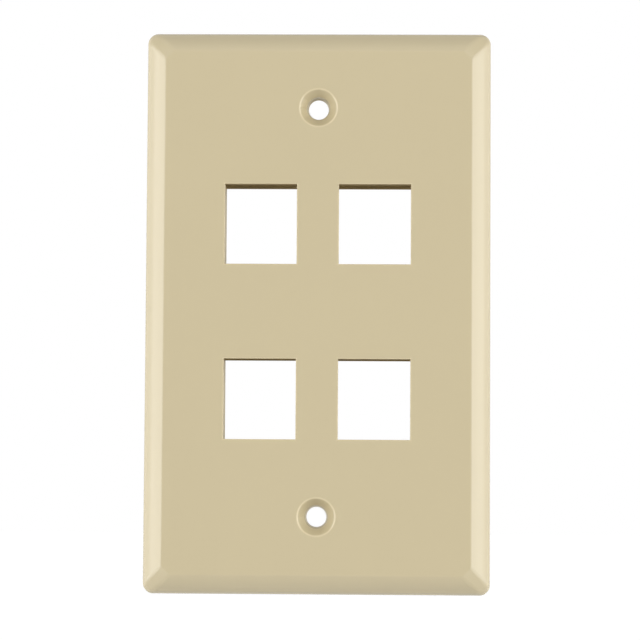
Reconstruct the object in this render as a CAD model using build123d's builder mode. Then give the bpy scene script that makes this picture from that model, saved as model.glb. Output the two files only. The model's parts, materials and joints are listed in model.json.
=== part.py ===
from build123d import *
from math import asin, cos, degrees, radians, sin, sqrt, tan
import os

# Plate outline at the wall, and how far its face stands off the wall
plate_width = 70.65
plate_height = 114.95
plate_depth = 6.0

# Each corner is cut to a narrow flat, and both edges of the flat are rounded
corner_radius = 2.0
corner_flat = 0.15

# Edge section, from the flat face outwards: crease, crowned bevel, rounded shoulder, drafted side
bevel_width = 4.0
crease_slope = 22.0
crease_radius = 1.0
crown_radius = 9.0
side_draft = 1.0

# The shoulder is rounder than the corners, so that the corner round runs over it unbroken
shoulder_ease = 0.5

# Hollow back
wall = 2.2
hollow_corner_radius = 1.0

# Box screws, one above and one below the ports, each through a boss
screw_count = 2
screw_spacing = 83.34
screw_hole_radius = 2.05
screw_hole_land = 0.8
lead_in_radius = 2.35
countersink_radius = 3.82
countersink_angle = 82.0
countersink_lip_radius = 0.45
boss_radius = 5.2
boss_depth = 3.9

# Port openings in the face
port_columns = 2
port_rows = 2
port_pitch_x = 23.24
port_pitch_z = 35.65
port_width = 14.68
port_height = 16.33
port_edge_radius = 0.1

# Port housings behind the face, their depth measured from the face
housing_depth = 10.0
housing_clearance = 0.2
housing_wall = 1.6
housing_corner_radius = 0.8

# Jack catches: a fixed lug hooks in above the opening, a sprung latch snaps in below it
catch_depth = 1.9
lug_recess = 2.0
lug_chamfer = 0.5
latch_recess = 4.0
latch_lip = 2.0
latch_ramp_depth = 1.3
latch_ramp_rise = 1.0

# Stiffening ribs, which stop short of the wall
rib_thickness = 1.2
rib_setback = 0.6

# Shallow round marks of the ejector pins, beside the housings
ejector_rows = 3
ejector_radius = 2.5
ejector_depth = 0.15

# Sizes and places that follow from those above
shoulder_radius = corner_radius + shoulder_ease
hollow_shoulder_radius = hollow_corner_radius + shoulder_ease
face_y = -plate_depth
face_back_y = face_y + wall
boss_back_y = face_y + boss_depth
housing_back_y = face_y + housing_depth
catch_y = housing_back_y - catch_depth
crown_end_slope = degrees(asin(sin(radians(crease_slope)) + bevel_width / crown_radius))
crown_drop = crown_radius * (cos(radians(crease_slope)) - cos(radians(crown_end_slope)))
side_lean = (plate_depth - crown_drop) * tan(radians(side_draft))
corner_cut = corner_flat / sqrt(2) + corner_radius * (2 - sqrt(2))
countersink_depth = (countersink_radius - lead_in_radius) / tan(radians(countersink_angle / 2))
lead_in_depth = boss_depth - screw_hole_land - countersink_depth
cavity_width = port_width + 2 * housing_clearance
housing_width = cavity_width + 2 * housing_wall
housing_height = port_height + lug_recess + latch_recess + 2 * housing_wall
housing_shift = (lug_recess - latch_recess) / 2
hollow_side = plate_width / 2 - wall
housings_side = (port_pitch_x + housing_width) / 2
ejector_pitch_x = hollow_side + housings_side
ejector_pitch_z = (screw_spacing + port_pitch_z) / 4


def plane_at(y):
    """The plane at one depth, facing the front, with its y up the plate."""
    return Plane(origin=(0, y, 0), x_dir=(1, 0, 0), z_dir=(0, -1, 0))


def end_plane():
    """The plane of the plate's width and depth, with its y towards the front."""
    return Plane(origin=(0, 0, 0), x_dir=(1, 0, 0), z_dir=(0, 0, -1))


def side_plane(x, z):
    """The plane of the plate's height and depth through one point, with its y towards the front."""
    return Plane(origin=(x, 0, z), x_dir=(0, 0, 1), z_dir=(1, 0, 0))


def edge_section(plane, span, inset, rounding):
    """The plate's section across one span, inset from its skin, its foot run on past the wall to suit."""
    crease = (span / 2 - side_lean - bevel_width, plate_depth)
    heading = (cos(radians(crease_slope)), -sin(radians(crease_slope)))
    foot_drop = 2 * inset
    foot = (span / 2 + foot_drop * tan(radians(side_draft)), -foot_drop)
    with BuildSketch(plane) as section:
        with BuildLine():
            crown = JernArc(crease, heading, crown_radius, crease_slope - crown_end_slope)
            Line(crown @ 1, foot)
            mirror(about=Plane.YZ)
            Line((-crease[0], crease[1]), crease)
            Line((-foot[0], foot[1]), foot)
        make_face()
        if inset > 0:
            offset(amount=-inset, kind=Kind.INTERSECTION)
        shoulders = section.vertices().group_by(Axis.Y)[-2]
        fillet(shoulders, rounding)
    return section.sketch


def mitres(form):
    """The corner edges of a plate form: all that don't stay at one depth."""
    return form.edges().filter_by(Plane.XZ, reverse=True)


def cavity_section(plane):
    """A port's passage behind the face, seen from its side, with its recesses and both catches."""
    top = port_height / 2
    bottom = -port_height / 2
    with BuildSketch(plane) as section:
        with BuildLine():
            Polyline(
                (bottom - latch_recess, -face_back_y),
                (top + lug_recess, -face_back_y),
                (top + lug_recess, -catch_y),
                (top, -catch_y),
                (top, -housing_back_y + lug_chamfer),
                (top + lug_chamfer, -housing_back_y),
                (bottom - latch_lip - latch_ramp_rise, -housing_back_y),
                (bottom - latch_lip, -housing_back_y + latch_ramp_depth),
                (bottom - latch_lip, -catch_y),
                (bottom - latch_recess, -catch_y),
                close=True,
            )
        make_face()
    return section.sketch


# The hollow behind the face, less the ribs that cross it, which end at the screw bosses
with BuildPart() as hollow:
    across = edge_section(end_plane(), plate_width, wall, hollow_shoulder_radius)
    upright = edge_section(side_plane(0, 0), plate_height, wall, hollow_shoulder_radius)
    extrude(across, amount=plate_height, both=True)
    extrude(upright, amount=plate_width, both=True, mode=Mode.INTERSECT)
    fillet(mitres(hollow), hollow_corner_radius)
    with BuildSketch(plane_at(-rib_setback)):
        Rectangle(rib_thickness, plate_height)
        with GridLocations(0, screw_spacing, 1, screw_count):
            Rectangle(plate_width, rib_thickness)
        with GridLocations(0, port_pitch_z, 1, port_rows):
            Rectangle(plate_width, rib_thickness)
        with GridLocations(port_pitch_x, 0, port_columns, 1):
            Rectangle(rib_thickness, port_pitch_z)
        with GridLocations(0, screw_spacing, 1, screw_count):
            Circle(boss_radius, mode=Mode.SUBTRACT)
    extrude(amount=plate_depth, mode=Mode.SUBTRACT)

# The plate, one moulding
with BuildPart() as faceplate:
    # Crowned shell: the two edge sections meet in mitres, which are cut and rounded before the crease
    across = edge_section(end_plane(), plate_width, 0, shoulder_radius)
    upright = edge_section(side_plane(0, 0), plate_height, 0, shoulder_radius)
    extrude(across, amount=plate_height, both=True)
    extrude(upright, amount=plate_width, both=True, mode=Mode.INTERSECT)
    chamfer(mitres(faceplate), corner_cut)
    fillet(mitres(faceplate), corner_radius)
    face = faceplate.faces().sort_by(Axis.Y)[0]
    fillet(face.edges(), crease_radius)
    add(hollow.part, mode=Mode.SUBTRACT)

    # Port housings, from the middle of the face wall to their backs
    with BuildSketch(plane_at(housing_back_y)):
        with Locations((0, housing_shift)):
            with GridLocations(port_pitch_x, port_pitch_z, port_columns, port_rows):
                RectangleRounded(housing_width, housing_height, housing_corner_radius)
    extrude(amount=housing_depth - wall / 2)

    # Screw bosses, from the middle of the face wall to their seats
    with BuildSketch(plane_at(boss_back_y)):
        with GridLocations(0, screw_spacing, 1, screw_count):
            Circle(boss_radius)
    extrude(amount=boss_depth - wall / 2)

    # Port openings, slightly rounded at the face
    with BuildSketch(plane_at(housing_back_y)):
        with GridLocations(port_pitch_x, port_pitch_z, port_columns, port_rows):
            Rectangle(port_width, port_height)
    extrude(amount=housing_depth, mode=Mode.SUBTRACT)
    face = faceplate.faces().sort_by(Axis.Y)[0]
    fillet(face.inner_wires().edges(), port_edge_radius)

    # The wider passage behind each opening
    for spot in GridLocations(port_pitch_x, port_pitch_z, port_columns, port_rows):
        cavity = cavity_section(side_plane(spot.position.X, spot.position.Y))
        extrude(cavity, amount=cavity_width / 2, both=True, mode=Mode.SUBTRACT)

    # Countersunk screw holes, with a steep lead-in below the countersink and a rounded lip
    with Locations(plane_at(face_y)):
        with GridLocations(0, screw_spacing, 1, screw_count):
            CounterSinkHole(screw_hole_radius, countersink_radius, boss_depth, countersink_angle)
    with Locations(plane_at(boss_back_y - screw_hole_land)):
        with GridLocations(0, screw_spacing, 1, screw_count):
            Cone(
                screw_hole_radius,
                lead_in_radius,
                lead_in_depth,
                align=(Align.CENTER, Align.CENTER, Align.MIN),
                mode=Mode.SUBTRACT,
            )
    lips = faceplate.edges().filter_by(GeomType.CIRCLE).group_by(Axis.Y)[0]
    fillet(lips, countersink_lip_radius)

    # Ejector marks on the back of the face
    with BuildSketch(plane_at(face_back_y)):
        with GridLocations(ejector_pitch_x, ejector_pitch_z, 2, ejector_rows):
            Circle(ejector_radius)
    extrude(amount=ejector_depth, mode=Mode.SUBTRACT)

faceplate.part.label = "faceplate"
os.makedirs("parts", exist_ok=True)
export_step(faceplate.part, "parts/faceplate.step")
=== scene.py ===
import json
import math

import bpy
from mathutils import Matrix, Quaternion, Vector


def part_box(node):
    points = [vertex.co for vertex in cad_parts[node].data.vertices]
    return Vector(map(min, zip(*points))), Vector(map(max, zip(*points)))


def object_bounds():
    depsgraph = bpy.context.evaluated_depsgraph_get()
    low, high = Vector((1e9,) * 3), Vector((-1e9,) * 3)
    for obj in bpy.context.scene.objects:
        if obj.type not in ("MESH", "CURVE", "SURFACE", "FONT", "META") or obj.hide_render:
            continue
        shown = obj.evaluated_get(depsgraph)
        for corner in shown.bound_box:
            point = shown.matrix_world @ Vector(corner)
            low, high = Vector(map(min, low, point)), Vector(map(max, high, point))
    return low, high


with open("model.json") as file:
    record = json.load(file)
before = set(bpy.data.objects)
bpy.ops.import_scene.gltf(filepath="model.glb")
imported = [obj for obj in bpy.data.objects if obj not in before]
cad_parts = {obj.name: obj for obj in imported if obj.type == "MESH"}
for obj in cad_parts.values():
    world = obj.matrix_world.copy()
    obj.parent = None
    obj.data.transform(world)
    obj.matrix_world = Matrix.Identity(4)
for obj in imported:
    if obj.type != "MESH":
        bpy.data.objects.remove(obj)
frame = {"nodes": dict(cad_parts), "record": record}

bl_info = {
    "name": "Keystone faceplate finish",
    "version": (1, 0, 0),
    "blender": (4, 5, 0),
    "location": "3D View > Sidebar > Faceplate",
    "description": "Moulded ivory plastic, studio and camera for a keystone faceplate",
    "category": "Material",
}

PLATE = "faceplate"
MILLIMETRE = 0.001
WHITE = (1.0, 1.0, 1.0, 1.0)

# Sockets of the Mix node when it mixes colours
MIX_FACTOR = 0
MIX_FIRST = 6
MIX_SECOND = 7
MIX_RESULT = 2

cad_low, cad_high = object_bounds()
plate_low, plate_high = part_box(PLATE)
mounts = {mount["name"]: mount for mount in frame["record"]["mounts"]}
port_place = Vector(mounts["port_upper_right"]["pos_m"])
FACE_Y = plate_low.y
FACE_CENTRE = Vector((0, FACE_Y, 0))

# The hollow behind the plate's wall. The back of the face itself lies on its border, outside it
WALL = 0.0022
HOLLOW_SIDE = plate_high.x - WALL
HOLLOW_END = plate_high.z - WALL
HOLLOW_FRONT = FACE_Y + WALL

# The four ports: their places from the middle, half their size, the recess above, and their rims, which
# get a painted highlight
PORT_OUT = port_place.x
PORT_RISE = port_place.z
PORT_HALF_WIDTH = 0.00734
PORT_HALF_HEIGHT = 0.008165
PORT_RECESS = 0.0021
PORT_SKIN = 0.0001
PORT_CLEARANCE = 0.0003
PORT_RIM_WIDTH = 0.00035

# The block that holds the four port passages, which starts just behind the face
FACE_SKIN = 0.00006
PORTS_SIDE = 0.0195
PORTS_END = 0.0285
PORTS_FRONT = FACE_Y + FACE_SKIN

# The two screw holes: their height from the middle, and the radii of the throat, which gets painted
# shade, and of the lip, which gets a painted highlight
SCREW_RISE = mounts["box_screws"]["dims"]["spacing_y_mm"] * MILLIMETRE / 2
THROAT_RADIUS = 0.00235
THROAT_EDGE = 0.00012
LIP_RADIUS = 0.00385
LIP_WIDTH = 0.0003

# The plastic: its gloss, how light its painted highlights on rims and lips can get, and how dark its
# painted shade in the throats can get
REFRACTION = 1.62
PAINTED_HIGHLIGHT_SHARE = 1.4
PAINTED_SHADE_SHARE = 0.3

# Noise: its make-up and its middle, and how the roughness varies in patches
NOISE_DETAIL = 2
NOISE_ROUGHNESS = 0.5
NOISE_MIDDLE = 0.5
PATCH_ROUGHNESS = 0.04
PATCHES_PER_MOTTLE = 3

# The studio: width and height of each kind of softbox, floor and camera
SIDE_SOFTBOX = (1.0, 1.1)
REAR_SOFTBOX = (0.7, 0.8)
TOP_SOFTBOX = (1.2, 0.9)
FLOOR_SIZE = 30
FLOOR_GLOW = 0.95
FLOOR_SHADOW = (0.6, 0.6, 0.6, 1.0)
SENSOR_WIDTH = 36

# How far to each side of the plate's plane the light of the surroundings changes over
SURROUNDINGS_TURN = 0.3


class Wire:
    """A shader value. Python operators on it add Math nodes."""

    def __init__(self, shader, socket):
        self.shader = shader
        self.socket = socket

    def maths(self, operation, first, second=0):
        settings = {"operation": operation}
        return self.shader.node("ShaderNodeMath", settings, {0: first, 1: second})

    def __add__(self, other):
        return self.maths("ADD", self, other)

    __radd__ = __add__

    def __sub__(self, other):
        return self.maths("SUBTRACT", self, other)

    def __rsub__(self, other):
        return self.maths("SUBTRACT", other, self)

    def __mul__(self, other):
        return self.maths("MULTIPLY", self, other)

    __rmul__ = __mul__

    def __abs__(self):
        return self.maths("ABSOLUTE", self)

    def __gt__(self, other):
        return self.maths("GREATER_THAN", self, other)

    def __lt__(self, other):
        return self.maths("LESS_THAN", self, other)

    def __or__(self, other):
        """The greater of the two values, which of two masks is either one."""
        return self.maths("MAXIMUM", self, other)

    def sign(self):
        """1 above zero and -1 below it."""
        return self.maths("SIGN", self)

    def length(self, other):
        """The length of the two values taken as the sides of a right angle."""
        return self.maths("SQRT", self * self + other * other)


class Shader:
    """The node tree of one material or of the world."""

    def __init__(self, owner):
        owner.use_nodes = True
        self.owner = owner
        self.tree = owner.node_tree
        self.tree.nodes.clear()

    def node(self, kind, settings, sockets, output=0):
        """Adds a node: its settings first, then the values or links of its sockets."""
        made = self.tree.nodes.new(kind)
        for name, value in settings.items():
            setattr(made, name, value)
        for name, value in sockets.items():
            if isinstance(value, Wire):
                self.tree.links.new(value.socket, made.inputs[name])
            else:
                made.inputs[name].default_value = value
        return Wire(self, made.outputs[output]) if made.outputs else None

    def place(self):
        """Where a point lies on the object, in metres."""
        return self.node("ShaderNodeTexCoord", {}, {}, "Object")

    def axes(self, place):
        """The three numbers of a place."""
        split = self.node("ShaderNodeSeparateXYZ", {}, {"Vector": place})
        return [Wire(self, socket) for socket in split.socket.node.outputs]

    def noise(self, place, size):
        """Smooth noise from 0 to 1, with lumps of the given size in metres."""
        sockets = {
            "Vector": place,
            "Scale": 1 / size,
            "Detail": NOISE_DETAIL,
            "Roughness": NOISE_ROUGHNESS,
        }
        return self.node("ShaderNodeTexNoise", {}, sockets, "Fac")

    def ramp(self, value, low, high, first, second):
        """Takes a value from one range to another, smoothly, and holds it there."""
        sockets = {
            "Value": value,
            "From Min": low,
            "From Max": high,
            "To Min": first,
            "To Max": second,
        }
        return self.node("ShaderNodeMapRange", {"interpolation_type": "SMOOTHSTEP"}, sockets)

    def tint(self, factor, first, second):
        """Mixes two colours."""
        settings = {"data_type": "RGBA"}
        sockets = {MIX_FACTOR: factor, MIX_FIRST: first, MIX_SECOND: second}
        return self.node("ShaderNodeMix", settings, sockets, MIX_RESULT)

    def matt(self, colour):
        """A surface without gloss, in one colour."""
        return self.node("ShaderNodeBsdfDiffuse", {}, {"Color": colour})

    def blend(self, factor, first, second):
        """Mixes two surfaces."""
        return self.node("ShaderNodeMixShader", {}, {0: factor, 1: first, 2: second})

    def seen(self):
        """1 for what the camera sees straight, mirrored or through glass, and 0 for light on things."""
        path = self.node("ShaderNodeLightPath", {}, {}, "Is Camera Ray").socket.node
        straight, mirrored, through = (
            Wire(self, path.outputs[name])
            for name in ("Is Camera Ray", "Is Glossy Ray", "Is Transmission Ray")
        )
        return straight + mirrored + through

    def finish(self, surface, kind="ShaderNodeOutputMaterial"):
        """Links the finished surface to the output."""
        self.node(kind, {}, {"Surface": surface})
        return self.owner


def with_alpha(colour):
    """A colour as a socket takes it."""
    return (*colour, 1.0)


def shaded(colour, share):
    """A colour made darker or lighter by a share."""
    return with_alpha(channel * share for channel in colour)


class PlasticSettings(bpy.types.PropertyGroup):
    """The moulded plastic of the plate."""

    colour: bpy.props.FloatVectorProperty(
        name="Colour",
        description="Colour of the moulded plastic",
        subtype="COLOR",
        size=3,
        min=0,
        max=1,
        default=(0.551, 0.47, 0.294),
    )
    mottle: bpy.props.FloatProperty(
        name="Mottle",
        description="How far the colour drifts over the moulding, as a share",
        subtype="FACTOR",
        min=0,
        max=0.1,
        default=0.012,
    )
    mottle_size: bpy.props.FloatProperty(
        name="Mottle size",
        description="Size of the patches in which the colour drifts",
        unit="LENGTH",
        default=0.022,
    )
    front_roughness: bpy.props.FloatProperty(
        name="Front roughness",
        description="Roughness of the polished front",
        subtype="FACTOR",
        min=0,
        max=1,
        default=0.26,
    )
    back_roughness: bpy.props.FloatProperty(
        name="Back roughness",
        description="Roughness of what stands in the hollow back, and of the port passages",
        subtype="FACTOR",
        min=0,
        max=1,
        default=0.6,
    )
    # Painted shade: the upper wall of each port turns towards a dark brown matt surface
    port_painted_shade_colour: bpy.props.FloatVectorProperty(
        name="Port shade colour",
        description="Colour that the upper wall of each port turns towards in its own shade",
        subtype="COLOR",
        size=3,
        min=0,
        max=1,
        default=(0.21, 0.13, 0.02),
    )
    port_painted_shade: bpy.props.FloatProperty(
        name="Port shade",
        description="How far the upper wall of each port turns towards that colour",
        subtype="FACTOR",
        min=0,
        max=1,
        default=0.65,
    )
    # Painted highlight: the rim of each port is painted paler
    rim_painted_highlight: bpy.props.FloatProperty(
        name="Rim shine",
        description="How much paler the rim of each port is",
        subtype="FACTOR",
        min=0,
        max=1,
        default=0.32,
    )
    # Painted highlight: the lip of each screw hole is painted paler
    lip_painted_highlight: bpy.props.FloatProperty(
        name="Lip shine",
        description="How much paler the polished lip of each screw hole is",
        subtype="FACTOR",
        min=0,
        max=1,
        default=0.45,
    )
    # Painted shade: the throat of each screw hole is painted darker
    throat_painted_shade: bpy.props.FloatProperty(
        name="Throat shade",
        description="How much darker the throat of each screw hole is",
        subtype="FACTOR",
        min=0,
        max=1,
        default=0.22,
    )
    grain_size: bpy.props.FloatProperty(
        name="Grain size",
        description="Size of the faint grain that the mould leaves",
        unit="LENGTH",
        default=0.0007,
    )
    grain_depth: bpy.props.FloatProperty(
        name="Grain depth",
        description="Depth of the grain",
        unit="LENGTH",
        precision=6,
        default=0.000004,
    )


class StudioSettings(bpy.types.PropertyGroup):
    """Floor, lights and camera."""

    floor_colour: bpy.props.FloatVectorProperty(
        name="Floor colour",
        description="Colour of the floor",
        subtype="COLOR",
        size=3,
        min=0,
        max=1,
        default=(0.5, 0.5, 0.5),
    )
    floor_drop: bpy.props.FloatProperty(
        name="Floor drop",
        description="How far the floor lies below the plate, which hangs on a wall",
        unit="LENGTH",
        default=0.35,
    )
    surroundings: bpy.props.FloatProperty(
        name="Surroundings",
        description="Strength of the even light from the front",
        min=0,
        default=0.12,
    )
    rear_surroundings: bpy.props.FloatProperty(
        name="Rear surroundings",
        description="Strength of the even light from behind",
        min=0,
        default=0.14,
    )
    side_light: bpy.props.FloatProperty(
        name="Side light",
        description="Power of the soft light at each side",
        unit="POWER",
        default=11.4,
    )
    side_angle: bpy.props.FloatProperty(
        name="Side angle",
        description="Angle of each side light from the front",
        subtype="ANGLE",
        default=math.radians(60),
    )
    rear_light: bpy.props.FloatProperty(
        name="Rear light",
        description="Power of the soft light behind each side",
        unit="POWER",
        default=2.1,
    )
    rear_angle: bpy.props.FloatProperty(
        name="Rear angle",
        description="Angle of each rear light from the front",
        subtype="ANGLE",
        default=math.radians(102),
    )
    top_light: bpy.props.FloatProperty(
        name="Top light",
        description="Power of the soft fill light above the camera",
        unit="POWER",
        default=1.8,
    )
    top_angle: bpy.props.FloatProperty(
        name="Top angle",
        description="Angle of the top light above the front",
        subtype="ANGLE",
        default=math.radians(50),
    )
    light_distance: bpy.props.FloatProperty(
        name="Light distance",
        description="Distance of each light from the plate",
        unit="LENGTH",
        default=1.0,
    )
    lens: bpy.props.FloatProperty(
        name="Lens",
        description="Focal length of the camera, in millimetres",
        default=139.76,
    )
    camera_place: bpy.props.FloatVectorProperty(
        name="Camera place",
        description="Where the camera stands",
        subtype="TRANSLATION",
        unit="LENGTH",
        size=3,
        default=(0.012256, -0.509365, -0.032948),
    )
    camera_aim: bpy.props.FloatVectorProperty(
        name="Camera aim",
        description="What the camera points at",
        subtype="TRANSLATION",
        unit="LENGTH",
        size=3,
        default=(0.000575, FACE_Y, -0.001762),
    )
    camera_roll: bpy.props.FloatProperty(
        name="Camera roll",
        description="How far the camera is turned about its line of sight",
        subtype="ANGLE",
        default=0.00606,
    )


def behind_the_face(x, y, z):
    """1 in the hollow back and in the port passages, and 0 elsewhere."""
    hollow = (y > HOLLOW_FRONT) * (abs(x) < HOLLOW_SIDE) * (abs(z) < HOLLOW_END)
    passages = (y > PORTS_FRONT) * (abs(x) < PORTS_SIDE) * (abs(z) < PORTS_END)
    return hollow | passages


def beside_port(x):
    """How far a point lies past the side of the nearest port."""
    return abs(abs(x) - PORT_OUT) - PORT_HALF_WIDTH


def upper_port_wall_painted_shade(x, y, z):
    """Where the painted shade goes: 1 on the upper wall of each port and in the recess above it."""
    inside = (y > PORTS_FRONT) * (y < plate_high.y - PORT_SKIN)
    above = z - PORT_RISE * z.sign() - PORT_HALF_HEIGHT
    upper = (above > -PORT_SKIN) * (above < PORT_RECESS)
    return inside * upper * (beside_port(x) < PORT_CLEARANCE)


def port_rim_painted_highlight(shader, x, y, z, shine):
    """The painted highlight on the port rims, which fades out on the face."""
    beyond = abs(abs(z) - PORT_RISE) - PORT_HALF_HEIGHT
    shining = shader.ramp(beside_port(x) | beyond, PORT_RIM_WIDTH, 0.0, 0.0, shine)
    return shining * (y < PORTS_FRONT)


def plastic_colour(shader, place, settings):
    """The plastic's colour, which drifts a little, with painted highlights on port rims and screw lips
    and painted shade in the screw throats.
    """
    x, y, z = shader.axes(place)
    colour = shader.tint(
        shader.noise(place, settings.mottle_size),
        shaded(settings.colour, 1 - settings.mottle),
        shaded(settings.colour, 1 + settings.mottle),
    )
    rim = port_rim_painted_highlight(shader, x, y, z, settings.rim_painted_highlight)
    from_screw = x.length(abs(z) - SCREW_RISE)
    lip = shader.ramp(abs(from_screw - LIP_RADIUS), LIP_WIDTH, 0.0, 0.0, settings.lip_painted_highlight)
    throat_rim = THROAT_RADIUS + THROAT_EDGE
    throat = shader.ramp(from_screw, throat_rim, THROAT_RADIUS, 0.0, settings.throat_painted_shade)
    # Painted highlight on lips and port rims, then painted shade in the screw throats
    colour = shader.tint(lip | rim, colour, shaded(settings.colour, PAINTED_HIGHLIGHT_SHARE))
    return shader.tint(throat, colour, shaded(settings.colour, PAINTED_SHADE_SHARE))


def moulded_plastic(settings):
    """Ivory plastic: satin in front and duller behind, with a slow drift of colour, a faint grain, and
    painted shade on the upper port walls.
    """
    shader = Shader(bpy.data.materials.new("ivory_plastic"))
    place = shader.place()
    x, y, z = shader.axes(place)
    patches = shader.noise(place, settings.mottle_size / PATCHES_PER_MOTTLE)
    duller = settings.back_roughness - settings.front_roughness
    uneven = PATCH_ROUGHNESS * (patches - NOISE_MIDDLE)
    roughness = settings.front_roughness + duller * behind_the_face(x, y, z) + uneven
    grain = shader.noise(place, settings.grain_size)
    bump = {"Strength": 1.0, "Distance": settings.grain_depth, "Height": grain}
    satin = {
        "Base Color": plastic_colour(shader, place, settings),
        "Roughness": roughness,
        "Normal": shader.node("ShaderNodeBump", {}, bump),
        "IOR": REFRACTION,
    }
    # Painted shade: the upper port walls turn towards a dark brown matt surface
    surface = shader.blend(
        upper_port_wall_painted_shade(x, y, z) * settings.port_painted_shade,
        shader.node("ShaderNodeBsdfPrincipled", {}, satin),
        shader.matt(with_alpha(settings.port_painted_shade_colour)),
    )
    return shader.finish(surface)


def backdrop_floor(settings):
    """A pale floor that the camera sees as white, apart from the object's soft shadow."""
    shader = Shader(bpy.data.materials.new("studio_floor"))
    glow = shader.node("ShaderNodeEmission", {}, {"Color": WHITE, "Strength": FLOOR_GLOW})
    white = shader.node("ShaderNodeAddShader", {}, {0: glow, 1: shader.matt(FLOOR_SHADOW)})
    lit = shader.matt(with_alpha(settings.floor_colour))
    return shader.finish(shader.blend(shader.seen(), lit, white))


def white_surroundings(world, settings):
    """Soft light from all round, with one strength in front and one behind, which is seen as white."""
    shader = Shader(world)
    direction = shader.node("ShaderNodeTexCoord", {}, {}, "Generated")
    backwards = shader.axes(direction)[1]
    light = shader.ramp(
        backwards,
        -SURROUNDINGS_TURN,
        SURROUNDINGS_TURN,
        settings.surroundings,
        settings.rear_surroundings,
    )
    seen = shader.seen()
    strength = seen + (1 - seen) * light
    sky = shader.node("ShaderNodeBackground", {}, {"Color": WHITE, "Strength": strength})
    shader.finish(sky, "ShaderNodeOutputWorld")


def place_camera(settings):
    """The camera at the photograph's angle."""
    camera = bpy.data.objects.new("camera", bpy.data.cameras.new("camera"))
    bpy.context.scene.collection.objects.link(camera)
    place = Vector(settings.camera_place)
    towards = Vector(settings.camera_aim) - place
    camera.location = place
    camera.rotation_mode = "QUATERNION"
    turn = Quaternion((0, 0, 1), settings.camera_roll)
    camera.rotation_quaternion = towards.to_track_quat("-Z", "Y") @ turn
    camera.data.sensor_width = SENSOR_WIDTH
    camera.data.lens = settings.lens
    bpy.context.scene.camera = camera


def soft_light(name, outwards, distance, size, power):
    """A rectangular soft light that faces the plate from one direction."""
    place = FACE_CENTRE + distance * outwards
    bpy.ops.object.select_all(action="DESELECT")
    bpy.ops.object.light_add(type="AREA", location=place)
    light = bpy.context.object
    light.name = name
    light.rotation_mode = "QUATERNION"
    light.rotation_quaternion = (FACE_CENTRE - place).to_track_quat("-Z", "Y")
    light.data.shape = "RECTANGLE"
    light.data.size, light.data.size_y = size
    light.data.energy = power


def soft_lights(settings):
    """A soft light at each side, one behind each side, and a fill light above."""
    for name, angle, size, power in (
        ("left_softbox", -settings.side_angle, SIDE_SOFTBOX, settings.side_light),
        ("right_softbox", settings.side_angle, SIDE_SOFTBOX, settings.side_light),
        ("left_rear_softbox", -settings.rear_angle, REAR_SOFTBOX, settings.rear_light),
        ("right_rear_softbox", settings.rear_angle, REAR_SOFTBOX, settings.rear_light),
    ):
        outwards = Vector((math.sin(angle), -math.cos(angle), 0))
        soft_light(name, outwards, settings.light_distance, size, power)
    rise = settings.top_angle
    outwards = Vector((0, -math.cos(rise), math.sin(rise)))
    soft_light("top_softbox", outwards, settings.light_distance, TOP_SOFTBOX, settings.top_light)


class FACEPLATE_OT_mould(bpy.types.Operator):
    """Gives the plate its moulded plastic"""

    bl_idname = "faceplate.mould"
    bl_label = "Finish the plate"

    def execute(self, context):
        material = moulded_plastic(context.scene.faceplate_plastic)
        for slot in frame["nodes"][PLATE].material_slots:
            slot.material = material
        return {"FINISHED"}


class FACEPLATE_OT_studio(bpy.types.Operator):
    """Sets up the floor, the lights and the camera"""

    bl_idname = "faceplate.studio"
    bl_label = "Set up the studio"

    def execute(self, context):
        settings = context.scene.faceplate_studio
        floor_place = (0, 0, cad_low.z - settings.floor_drop)
        bpy.ops.object.select_all(action="DESELECT")
        bpy.ops.mesh.primitive_plane_add(size=FLOOR_SIZE, location=floor_place)
        floor = context.object
        floor.name = "studio_floor"
        floor.data.materials.append(backdrop_floor(settings))
        soft_lights(settings)
        world = bpy.data.worlds.new("studio")
        context.scene.world = world
        white_surroundings(world, settings)
        place_camera(settings)
        context.scene.view_settings.view_transform = "Standard"
        return {"FINISHED"}


class FACEPLATE_PT_panel(bpy.types.Panel):
    """Lists the steps and their settings"""

    bl_idname = "FACEPLATE_PT_panel"
    bl_label = "Faceplate"
    bl_space_type = "VIEW_3D"
    bl_region_type = "UI"
    bl_category = "Faceplate"

    def draw(self, context):
        for operator, settings in (
            (FACEPLATE_OT_mould, context.scene.faceplate_plastic),
            (FACEPLATE_OT_studio, context.scene.faceplate_studio),
        ):
            box = self.layout.box()
            box.operator(operator.bl_idname)
            for name in settings.__annotations__:
                box.prop(settings, name)


CLASSES = (
    PlasticSettings,
    StudioSettings,
    FACEPLATE_OT_mould,
    FACEPLATE_OT_studio,
    FACEPLATE_PT_panel,
)


def register():
    for each in CLASSES:
        bpy.utils.register_class(each)
    bpy.types.Scene.faceplate_plastic = bpy.props.PointerProperty(type=PlasticSettings)
    bpy.types.Scene.faceplate_studio = bpy.props.PointerProperty(type=StudioSettings)


def unregister():
    del bpy.types.Scene.faceplate_studio
    del bpy.types.Scene.faceplate_plastic
    for each in reversed(CLASSES):
        bpy.utils.unregister_class(each)


def main():
    register()
    bpy.ops.faceplate.mould()
    bpy.ops.faceplate.studio()


if __name__ == "__main__":
    main()
